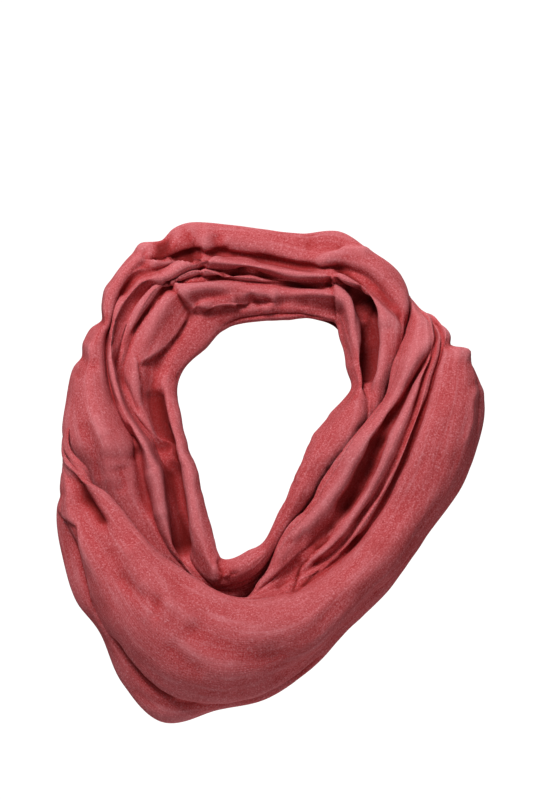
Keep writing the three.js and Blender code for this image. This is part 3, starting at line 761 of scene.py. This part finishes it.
def blurred(points, reach):
    """Points averaged with their neighbours along and across the cloth, over a reach in faces."""
    steps = np.arange(-2 * reach, 2 * reach + 1)
    weights = np.exp(-((steps / reach) ** 2))
    weights = weights / weights.sum()
    along = sum(weight * np.roll(points, step, axis=0) for weight, step in zip(weights, steps))
    padded = np.pad(along, ((0, 0), (2 * reach, 2 * reach), (0, 0)), mode="reflect", reflect_type="odd")
    wide = points.shape[1]
    starts = steps + 2 * reach
    return sum(weight * padded[:, start:start + wide] for weight, start in zip(weights, starts))


def eased(points, areas):
    """Points with the folds smoothed out near some paths, and the share of a sharp fold left at each."""
    flat = on_photo(points)
    left = np.ones(points.shape[:2])
    for area in areas:
        smooth = blurred(blurred(points, EASE_REACH), EASE_REACH)
        away, _, _ = path_distance(flat, area["path"])
        weight = area["share"] * np.exp(-((away / area["width"]) ** 2))
        points = points + (smooth - points) * weight[..., None]
        left = left * (1 - weight)
    return points, left


def pulled(points, pulls):
    """Points drawn sideways where a fold is caught, by pixels of the photo."""
    right, up, _, _ = ring_axes()
    for pull in pulls:
        away = np.linalg.norm(on_photo(points) - from_pixels(pull["at"]), axis=2) / MM_PER_PIXEL
        weight = np.exp(-((away / pull["reach"]) ** 2)) * MM_PER_PIXEL
        across, down = pull["move"]
        points = points + weight[..., None] * (across * right - down * up)
    return points


def press_field(travelled, folds, places, presses):
    """Sharp valleys along fold lines, all round a turn, in mm."""
    field = 0
    for name, depth, width in presses:
        at = travelled[:, places.index(folds.index(name))]
        field = field - depth * np.exp(-np.abs(travelled - at[:, None]) / width)
    return field


def bell(angles, step):
    """Height of a small step at each angle round the axis."""
    middle, spread, height = step
    return height * np.exp(-((((angles - middle + 180) % 360 - 180) / spread) ** 2))


def stepped_outline(points, angles, steps, neck_steps):
    """Points moved away from the axis, for the small steps of the outline and of the neck opening."""
    right, up, _, middle = ring_axes()
    spoke = np.sin(np.radians(angles))[:, None] * right + np.cos(np.radians(angles))[:, None] * up
    out = np.einsum("ijk,ik->ij", points - middle, spoke)
    near = np.clip((out - out.max(axis=1, keepdims=True) + OUTLINE_REACH) / OUTLINE_FADE, 0, 1)
    move = near * sum(bell(angles, step) for step in steps)[:, None]
    near = np.clip(1 - (out - out.min(axis=1, keepdims=True)) / NECK_REACH, 0, 1)
    for step in neck_steps:
        move = move + near * bell(angles, step)[:, None]
    return points + move[..., None] * spoke[:, None, :]


def edge_distance(points):
    """Distance across the cloth to the nearer free edge and from the first one, in mm."""
    steps = np.linalg.norm(np.diff(points, axis=1), axis=2)
    travelled = np.concatenate([np.zeros((len(points), 1)), np.cumsum(steps, axis=1)], axis=1)
    return np.minimum(travelled, travelled[:, -1:] - travelled), travelled


def turn_surface(shape, sizes):
    """Outer points, normals, places across and painted light and shade of one turn, with its creases
    and hems: a painted highlight on ridges, painted shade in hollows and in sharp creases.
    """
    angles = np.arange(sizes.stations) * 360 / sizes.stations
    lines = fold_lines(shape["folds"], angles)
    places = across_places(lines, sizes.face_length / MM)
    points = np.stack([across_curve(lines, place) for place in places], axis=1)
    points, left = eased(points, shape["eased"])
    points = pulled(points, shape["pulls"])
    points = stepped_outline(points, angles, shape["steps"], shape["neck_steps"])
    normals = surface_normals(points)
    long, wide = points.shape[:2]
    edge, travelled = edge_distance(points)
    uneven = sum(
        height * soft_noise(long, wide, along, across, shape["seed"] + number)
        for number, (height, along, across) in enumerate(UNEVEN)
    )
    hem = sizes.hem_rise / MM * np.clip((sizes.hem_width / MM - edge) / HEM_EDGE + 0.5, 0, 1)
    front = ring_axes()[2]
    folds = [row["name"] for row in shape["folds"]]
    field = (
        uneven
        + hem * left
        + crease_field(points, normals, shape["creases"], front)
        + crease_field(points, normals, BACK_CREASES, -front)
        + press_field(travelled, folds, places, shape["presses"]) * left
    )
    # Painted shade in sharp creases and in the dark hollows given with the creases
    painted_shade = painted_shade_field(points, normals, shape["creases"], front)
    wall = sizes.thickness / MM
    points = points + normals * (field + wall)[..., None]
    # Painted light and shade: paler where the cloth stands over its surroundings, deeper in hollows
    painted_light_and_shade = ((points - blurred(points, PAINTED_LIGHT_REACH)) * normals).sum(axis=2) / PAINTED_LIGHT_HEIGHT
    return points, normals, places, np.clip(painted_light_and_shade, -1, 1) - painted_shade


def closed_section(points, normals, thickness):
    """Closed loop of points round the wall at every section: outer face, edge, inner face, edge."""
    inner = points - normals * thickness
    turns = [math.pi * (step + 1) / (EDGE_POINTS + 1) for step in range(EDGE_POINTS)]

    def round_edge(outer_end, inner_end, beyond):
        middle, half = (outer_end + inner_end) / 2, (outer_end - inner_end) / 2
        reach = beyond / np.maximum(np.linalg.norm(beyond, axis=1, keepdims=True), TINY) * thickness / 2
        return [middle + half * math.cos(turn) + reach * math.sin(turn) for turn in turns]

    far = round_edge(points[:, -1], inner[:, -1], points[:, -1] - points[:, -2])
    near = round_edge(inner[:, 0], points[:, 0], points[:, 0] - points[:, 1])
    hidden = inner[:, hidden_columns(inner.shape[1])]
    return np.concatenate([points, np.stack(far, axis=1), hidden, np.stack(near, axis=1)], axis=1)


def hidden_columns(wide):
    """Columns that the inner face keeps, from far edge to near edge: half as many as the outer face."""
    return np.unique(np.linspace(0, wide - 1, wide // 2).round().astype(int))[::-1]


def cloth_object(name, points, normals, painted_light_and_shade, thickness):
    """Closed shell of cloth as one mesh object in metres, with a metre UV map along and across."""
    section = closed_section(points, normals, thickness / MM) * MM
    long, around = section.shape[:2]
    station, place = np.meshgrid(np.arange(long), np.arange(around), indexing="ij")
    ahead, beside = (station + 1) % long, (place + 1) % around
    here, there = station * around, ahead * around
    faces = np.stack([here + place, there + place, there + beside, here + beside], axis=2).reshape(-1, 4)
    mesh = bpy.data.meshes.new(name)
    mesh.from_pydata(section.reshape(-1, 3).tolist(), [], faces.tolist())
    across = np.concatenate([[0], np.cumsum(np.linalg.norm(np.diff(section, axis=1), axis=2).mean(axis=0))])
    girth = across[-1] + np.linalg.norm(section[:, 0] - section[:, -1], axis=1).mean()
    along = np.arange(long + 1) / long * LOOP_LENGTH / 2
    sides = np.append(across, girth)
    corners = np.stack(
        [
            np.stack([along[station], sides[place]], axis=2),
            np.stack([along[station + 1], sides[place]], axis=2),
            np.stack([along[station + 1], sides[place + 1]], axis=2),
            np.stack([along[station], sides[place + 1]], axis=2),
        ],
        axis=2,
    )
    layer = mesh.uv_layers.new(name="cloth")
    layer.data.foreach_set("uv", corners.reshape(-1))
    # Painted highlight and shade on both faces of the cloth, kept for the material
    heights = np.zeros((long, around))
    wide, hidden = painted_light_and_shade.shape[1], hidden_columns(painted_light_and_shade.shape[1])
    heights[:, :wide] = painted_light_and_shade
    first = wide + EDGE_POINTS
    heights[:, first:first + len(hidden)] = painted_light_and_shade[:, hidden]
    mesh.attributes.new("painted_light_and_shade", "FLOAT", "POINT").data.foreach_set("value", heights.reshape(-1))
    mesh.shade_smooth()
    mesh.update()
    return new_object(name, mesh)


# Materials

def fill_socket(tree, socket, value):
    """Sets an input to a value, or links another node's output to it."""
    if isinstance(value, bpy.types.NodeSocket):
        tree.links.new(value, socket)
    else:
        socket.default_value = value


def add_node(tree, kind, sockets=None, **settings):
    """Node with its settings, and with its inputs filled by name."""
    node = tree.nodes.new(kind)
    for label, value in settings.items():
        setattr(node, label, value)
    for label, value in (sockets or {}).items():
        fill_socket(tree, node.inputs[label], value)
    return node


def new_group(name, inputs, outputs, kind="ShaderNodeTree"):
    """Node group with named sockets: its tree, the values given to it and the sockets of its result."""
    tree = bpy.data.node_groups.new(name, kind)
    for label, socket_kind, value in inputs:
        socket = tree.interface.new_socket(label, in_out="INPUT", socket_type=socket_kind)
        if value is not None:
            socket.default_value = value
    for label, socket_kind in outputs:
        tree.interface.new_socket(label, in_out="OUTPUT", socket_type=socket_kind)
    return tree, tree.nodes.new("NodeGroupInput").outputs, tree.nodes.new("NodeGroupOutput").inputs


def heather_group():
    """Heathered yarn: pale and deep fibres in speckles and faint streaks, with a painted highlight on
    ridges, painted shade in hollows and the darkest painted shade in sharp creases."""
    tree, given, result = new_group(
        "Heathered Yarn",
        [
            ("Base", "NodeSocketColor", (0.5, 0.1, 0.12, 1)),
            ("Pale", "NodeSocketColor", (0.7, 0.3, 0.3, 1)),
            ("Deep", "NodeSocketColor", (0.3, 0.05, 0.05, 1)),
            # Colour of the painted shade in sharp creases
            ("Painted Shade", "NodeSocketColor", (0.12, 0.006, 0.004, 1)),
            ("Position", "NodeSocketVector", None),
            ("Cloth", "NodeSocketVector", None),
            ("Painted Light And Shade", "NodeSocketFloat", 0.0),
            ("Speckle Scale", "NodeSocketFloat", 700.0),
            ("Streak Scale", "NodeSocketFloat", 60.0),
        ],
        [("Color", "NodeSocketColor"), ("Fibre", "NodeSocketFloat")],
    )
    speckle = add_node(tree, "ShaderNodeTexNoise", {
        "Vector": given["Position"], "Scale": given["Speckle Scale"], "Detail": 3.0, "Roughness": 0.7,
    }).outputs["Fac"]
    stretch = add_node(tree, "ShaderNodeMapping", {"Vector": given["Cloth"], "Scale": (0.35, 5.0, 1.0)})
    streak = add_node(tree, "ShaderNodeTexNoise", {
        "Vector": stretch.outputs["Vector"], "Scale": given["Streak Scale"],
        "Detail": 4.0, "Roughness": 0.65,
    }).outputs["Fac"]
    mottle = add_node(tree, "ShaderNodeTexNoise", {
        "Vector": given["Position"], "Scale": 38.0, "Detail": 3.0, "Roughness": 0.6,
    }).outputs["Fac"]
    colour = given["Base"]
    for value, curve, near, far, most, shade in (
        (speckle, "SMOOTHSTEP", 0.5, 0.74, 0.65, "Pale"),
        (speckle, "SMOOTHSTEP", 0.5, 0.3, 0.7, "Deep"),
        (streak, "SMOOTHSTEP", 0.46, 0.74, 0.26, "Pale"),
        (mottle, "SMOOTHSTEP", 0.5, 0.28, 0.22, "Deep"),
        # Painted highlight on ridges, painted shade in hollows, and darkest painted shade in sharp creases
        (given["Painted Light And Shade"], "LINEAR", 0.0, 1.0, 0.25, "Pale"),
        (given["Painted Light And Shade"], "LINEAR", 0.0, -1.0, 0.5, "Deep"),
        (given["Painted Light And Shade"], "LINEAR", -0.7, -1.9, 0.85, "Painted Shade"),
    ):
        mask = add_node(
            tree, "ShaderNodeMapRange",
            {"Value": value, "From Min": near, "From Max": far, "To Min": 0.0, "To Max": most},
            interpolation_type=curve,
        )
        mix = add_node(
            tree, "ShaderNodeMix",
            {"Factor": mask.outputs["Result"], "A": colour, "B": given[shade]},
            data_type="RGBA",
        )
        colour = mix.outputs["Result"]
    fill_socket(tree, result["Color"], colour)
    fill_socket(tree, result["Fibre"], speckle)
    return tree


def knit_group():
    """Jersey knit: fine wales of V-shaped loops along the cloth, as a height."""
    tree, given, result = new_group(
        "Jersey Knit",
        [
            ("Cloth", "NodeSocketVector", None),
            ("Wale Pitch", "NodeSocketFloat", 0.0011),
            ("Course Pitch", "NodeSocketFloat", 0.0009),
        ],
        [("Height", "NodeSocketFloat")],
    )

    def calc(operation, *values):
        node = add_node(tree, "ShaderNodeMath", operation=operation)
        for socket, value in zip(node.inputs, values):
            fill_socket(tree, socket, value)
        return node.outputs["Value"]

    parts = add_node(tree, "ShaderNodeSeparateXYZ", {"Vector": given["Cloth"]}).outputs
    wale = calc("DIVIDE", parts["Y"], given["Wale Pitch"])
    course = calc("DIVIDE", parts["X"], given["Course Pitch"])
    from_middle = calc("ABSOLUTE", calc("SUBTRACT", calc("FRACT", wale), 0.5))
    leg = calc("SINE", calc("MULTIPLY", calc("ADD", course, from_middle), 2 * math.pi))
    column = calc("COSINE", calc("MULTIPLY", wale, 2 * math.pi))
    height = calc("ADD", calc("MULTIPLY", leg, 0.5), calc("MULTIPLY", column, -0.5))
    fill_socket(tree, result["Height"], height)
    return tree


def new_material(name, sockets):
    """Material with nodes, its node tree, and its Principled shader with inputs set by name."""
    material = bpy.data.materials.new(name)
    material.use_nodes = True
    shader = material.node_tree.nodes["Principled BSDF"]
    for label, value in sockets.items():
        shader.inputs[label].default_value = value
    return material, material.node_tree, shader


def jersey_material(colours, groups):
    """Heathered jersey: matte knit with a soft nap."""
    _, tree, shader = new_material("Heathered Jersey", {
        "Roughness": 0.92, "Specular IOR Level": 0.12,
        "Sheen Weight": 0.04, "Sheen Roughness": 0.45, "Sheen Tint": (1.0, 0.5, 0.58, 1),
    })
    place = add_node(tree, "ShaderNodeTexCoord").outputs
    # The cloth's painted highlight and shade, which the yarn group turns into colour
    painted_light_and_shade = add_node(tree, "ShaderNodeAttribute", attribute_name="painted_light_and_shade")
    heather = add_node(
        tree, "ShaderNodeGroup",
        {
            "Base": (*colours.base, 1), "Pale": (*colours.pale, 1), "Deep": (*colours.deep, 1),
            "Position": place["Object"], "Cloth": place["UV"], "Painted Light And Shade": painted_light_and_shade.outputs["Fac"],
        },
        node_tree=groups["heather"],
    )
    knit = add_node(tree, "ShaderNodeGroup", {"Cloth": place["UV"]}, node_tree=groups["knit"])
    loops = add_node(tree, "ShaderNodeBump", {
        "Height": knit.outputs["Height"], "Strength": 0.35, "Distance": 0.00025,
    })
    fuzz = add_node(tree, "ShaderNodeBump", {
        "Height": heather.outputs["Fibre"], "Normal": loops.outputs["Normal"],
        "Strength": 0.3, "Distance": 0.0004,
    })
    fill_socket(tree, shader.inputs["Base Color"], heather.outputs["Color"])
    fill_socket(tree, shader.inputs["Normal"], fuzz.outputs["Normal"])


def thread_material(colours, groups):
    """Sewing thread, a little deeper and smoother than the jersey."""
    _, tree, shader = new_material("Sewing Thread", {"Roughness": 0.6, "Sheen Weight": 0.1})
    place = add_node(tree, "ShaderNodeTexCoord").outputs["Object"]
    deeper = [part * THREAD_SHADE for part in colours.base]
    heather = add_node(
        tree, "ShaderNodeGroup",
        {
            "Base": (*deeper, 1), "Pale": (*colours.base, 1), "Deep": (*colours.deep, 1),
            "Position": place, "Cloth": place, "Speckle Scale": 1800.0,
        },
        node_tree=groups["heather"],
    )
    fill_socket(tree, shader.inputs["Base Color"], heather.outputs["Color"])


def scarf_material(name):
    """One of the scarf's materials, made with the others the first time."""
    if name not in bpy.data.materials:
        colours = bpy.context.scene.scarf_colours
        groups = {"heather": heather_group(), "knit": knit_group()}
        jersey_material(colours, groups)
        thread_material(colours, groups)
    return bpy.data.materials[name]


# Stitches

def stitch_tree():
    """Geometry nodes that lay short round stitches end to end along a curve."""
    tree, given, result = new_group(
        "Hem Stitches",
        [
            ("Geometry", "NodeSocketGeometry", None),
            ("Pitch", "NodeSocketFloat", None),
            ("Length", "NodeSocketFloat", None),
            ("Width", "NodeSocketFloat", None),
            ("Thread", "NodeSocketMaterial", None),
        ],
        [("Geometry", "NodeSocketGeometry")],
        "GeometryNodeTree",
    )
    spaced = add_node(
        tree, "GeometryNodeResampleCurve",
        {"Curve": given["Geometry"], "Length": given["Pitch"]},
        mode="LENGTH",
    )
    stitch = add_node(tree, "GeometryNodeMeshUVSphere", {"Segments": 8, "Rings": 5, "Radius": 0.5})
    tangent = add_node(tree, "GeometryNodeInputTangent").outputs["Tangent"]
    turn = add_node(tree, "FunctionNodeAlignRotationToVector", {"Vector": tangent}, axis="X")
    size = add_node(tree, "ShaderNodeCombineXYZ", {
        "X": given["Length"], "Y": given["Width"], "Z": given["Width"],
    })
    row = add_node(tree, "GeometryNodeInstanceOnPoints", {
        "Points": spaced.outputs["Curve"], "Instance": stitch.outputs["Mesh"],
        "Rotation": turn.outputs["Rotation"], "Scale": size.outputs["Vector"],
    })
    solid = add_node(tree, "GeometryNodeRealizeInstances", {"Geometry": row.outputs["Instances"]})
    smooth = add_node(tree, "GeometryNodeSetShadeSmooth", {"Geometry": solid.outputs["Geometry"]})
    thread = add_node(tree, "GeometryNodeSetMaterial", {
        "Geometry": smooth.outputs["Geometry"], "Material": given["Thread"],
    })
    fill_socket(tree, result["Geometry"], thread.outputs["Geometry"])
    return tree


def stitch_row(name, paths, sizes):
    """Stitches along paths in metres, as one plain mesh object."""
    curve = bpy.data.curves.new(name + "_path", "CURVE")
    curve.dimensions = "3D"
    for path in paths:
        spline = curve.splines.new("POLY")
        spline.points.add(len(path) - 1)
        spline.points.foreach_set("co", np.concatenate([path, np.ones((len(path), 1))], axis=1).reshape(-1))
    guide = new_object(name + "_path", curve)
    modifier = guide.modifiers.new("Stitches", "NODES")
    modifier.node_group = bpy.data.node_groups.get("Hem Stitches") or stitch_tree()
    values = {
        "Pitch": sizes.stitch_pitch,
        "Length": sizes.stitch_length,
        "Width": sizes.stitch_width,
        "Thread": scarf_material("Sewing Thread"),
    }
    for item in modifier.node_group.interface.items_tree:
        if item.in_out == "INPUT" and item.name in values:
            modifier[item.identifier] = values[item.name]
    seen = guide.evaluated_get(bpy.context.evaluated_depsgraph_get())
    mesh = bpy.data.meshes.new_from_object(seen)
    mesh.name = name
    bpy.data.objects.remove(guide)
    return new_object(name, mesh)


def finish_piece(piece, nodes=()):
    """Puts a finished piece on the scarf's body, in place of its solids."""
    if nodes:
        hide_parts(*nodes)
    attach(piece, BODY)


def hem_paths(points, normals, places, shape, hem_width):
    """Paths of the stitches on one turn, in metres: along both free edges and along the hem that shows."""
    _, travelled = edge_distance(points)
    station = np.arange(len(points))
    paths = []
    for from_end in (travelled, travelled[:, -1:] - travelled):
        place = np.abs(from_end - (hem_width / MM - STITCH_INSET)).argmin(axis=1)
        row = points[station, place] + normals[station, place] * EDGE_LIFT
        paths.append(np.concatenate([row, row[:1]]) * MM)
    folds = [row["name"] for row in shape["folds"]]
    column = places.index(folds.index("hem"))
    first, last = shape["hem"]
    angles = np.arange(first, last + 1)
    station = np.round(angles % 360 * len(points) / 360).astype(int) % len(points)
    paths.append((points[station, column] + normals[station, column] * HEM_LIFT) * MM)
    return paths


def build_turn(shape):
    """One turn of the loop: its cloth and its stitches."""
    sizes = bpy.context.scene.scarf_sizes
    points, normals, places, painted_light_and_shade = turn_surface(shape, sizes)
    cloth = cloth_object(shape["name"], points, normals, painted_light_and_shade, sizes.thickness)
    cloth.data.materials.append(scarf_material("Heathered Jersey"))
    paths = hem_paths(points, normals, places, shape, sizes.hem_width)
    stitches = stitch_row(shape["name"] + "_stitches", paths, sizes)
    finish_piece(cloth, shape["nodes"])
    finish_piece(stitches)


class SCARF_OT_inner_turn(bpy.types.Operator):
    """Builds the turn beside the neck"""

    bl_idname = "scarf.inner_turn"
    bl_label = "Build Inner Turn"

    def execute(self, context):
        build_turn(INNER)
        return {"FINISHED"}


class SCARF_OT_outer_turn(bpy.types.Operator):
    """Builds the outer turn with the front drape"""

    bl_idname = "scarf.outer_turn"
    bl_label = "Build Outer Turn"

    def execute(self, context):
        build_turn(OUTER)
        return {"FINISHED"}


# Stage

def area_light(name, place, target, size, energy, colour):
    """Soft square studio light aimed at a point."""
    data = bpy.data.lights.new(name, "AREA")
    data.size = size
    data.energy = energy
    data.color = colour
    light = new_object(name, data)
    light.location = place
    light.rotation_euler = (Vector(target) - Vector(place)).to_track_quat("-Z", "Y").to_euler()


def camera_mix(tree, lighting, seen, surface):
    """Shows one shader to the camera, while another one lights the scarf."""
    ray = add_node(tree, "ShaderNodeLightPath")
    mix = add_node(tree, "ShaderNodeMixShader", {"Fac": ray.outputs["Is Camera Ray"]})
    fill_socket(tree, mix.inputs[1], lighting)
    fill_socket(tree, mix.inputs[2], seen)
    fill_socket(tree, surface, mix.outputs["Shader"])


def studio_world():
    """White surround, bright as a backdrop and dim as a light."""
    world = bpy.data.worlds.new("Studio")
    world.use_nodes = True
    tree = world.node_tree
    light = tree.nodes["Background"]
    light.inputs["Color"].default_value = (1, 1, 1, 1)
    light.inputs["Strength"].default_value = 0.13
    backdrop = add_node(tree, "ShaderNodeBackground", {"Color": (1, 1, 1, 1), "Strength": 1.0})
    surface = tree.nodes["World Output"].inputs["Surface"]
    camera_mix(tree, light.outputs["Background"], backdrop.outputs["Background"], surface)
    bpy.context.scene.world = world


def studio_floor(colour):
    """Pale floor well below the scarf, evenly bright to the camera and a plain floor to the scarf."""
    mesh = bpy.data.meshes.new("floor")
    sides = ((-1, -1), (1, -1), (1, 1), (-1, 1))
    corners = [(x * FLOOR_HALF, y * FLOOR_HALF, -FLOOR_DROP) for x, y in sides]
    mesh.from_pydata(corners, [], [(0, 1, 2, 3)])
    material, tree, shader = new_material("Floor", {"Base Color": (*colour, 1), "Roughness": 0.9})
    glow = add_node(tree, "ShaderNodeEmission", {"Color": (*colour, 1), "Strength": 1.05})
    surface = tree.nodes["Material Output"].inputs["Surface"]
    camera_mix(tree, shader.outputs["BSDF"], glow.outputs["Emission"], surface)
    mesh.materials.append(material)
    new_object("floor", mesh)


def photo_camera():
    """Camera at the photograph's angle, with a long lens."""
    right, up, front, middle = ring_axes()
    aim = (
        middle
        + (PHOTO_WIDTH / 2 - AXIS_PIXEL[0]) * MM_PER_PIXEL * right
        + (AXIS_PIXEL[1] - PHOTO_HEIGHT / 2) * MM_PER_PIXEL * up
    ) * MM
    data = bpy.data.cameras.new("photo")
    data.sensor_width = SENSOR_WIDTH
    data.lens = SENSOR_WIDTH * CAMERA_DISTANCE / (PHOTO_HEIGHT * MM_PER_PIXEL * MM)
    camera = new_object("photo", data)
    turn = Matrix(np.array([right, up, front]).T.tolist()).to_4x4()
    camera.matrix_world = Matrix.Translation(Vector(aim + front * CAMERA_DISTANCE)) @ turn
    bpy.context.scene.camera = camera


class SCARF_OT_stage(bpy.types.Operator):
    """Builds the camera, the soft studio light and the pale floor"""

    bl_idname = "scarf.stage"
    bl_label = "Build Stage"

    def execute(self, context):
        context.scene.view_settings.view_transform = "Standard"
        context.scene.view_settings.look = "Medium High Contrast"
        photo_camera()
        studio_world()
        studio_floor(context.scene.scarf_colours.floor)
        for name, place, size, energy, colour in LIGHTS:
            area_light(name, place, LIGHTS_AIM, size, energy, colour)
        return {"FINISHED"}


class SCARF_PT_panel(bpy.types.Panel):
    """Sizes, colours and steps of the scarf"""

    bl_idname = "SCARF_PT_panel"
    bl_label = "Infinity Scarf"
    bl_space_type = "VIEW_3D"
    bl_region_type = "UI"
    bl_category = "Scarf"

    def draw(self, context):
        column = self.layout.column()
        for group in (context.scene.scarf_sizes, context.scene.scarf_colours):
            for label in group.bl_rna.properties.keys():
                if label not in ("rna_type", "name"):
                    column.prop(group, label)
        for operator in OPERATORS:
            column.operator(operator.bl_idname)


OPERATORS = (SCARF_OT_stage, SCARF_OT_inner_turn, SCARF_OT_outer_turn)
CLASSES = (ScarfSizes, ScarfColours, *OPERATORS, SCARF_PT_panel)


def register():
    """Registers the classes and gives the scene its sizes and colours."""
    for each in CLASSES:
        bpy.utils.register_class(each)
    bpy.types.Scene.scarf_sizes = bpy.props.PointerProperty(type=ScarfSizes)
    bpy.types.Scene.scarf_colours = bpy.props.PointerProperty(type=ScarfColours)


def unregister():
    """Takes back what register did."""
    del bpy.types.Scene.scarf_colours
    del bpy.types.Scene.scarf_sizes
    for each in reversed(CLASSES):
        bpy.utils.unregister_class(each)


def main():
    """Registers the add-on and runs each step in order."""
    register()
    bpy.ops.scarf.stage()
    bpy.ops.scarf.inner_turn()
    bpy.ops.scarf.outer_turn()


if __name__ == "__main__":
    main()
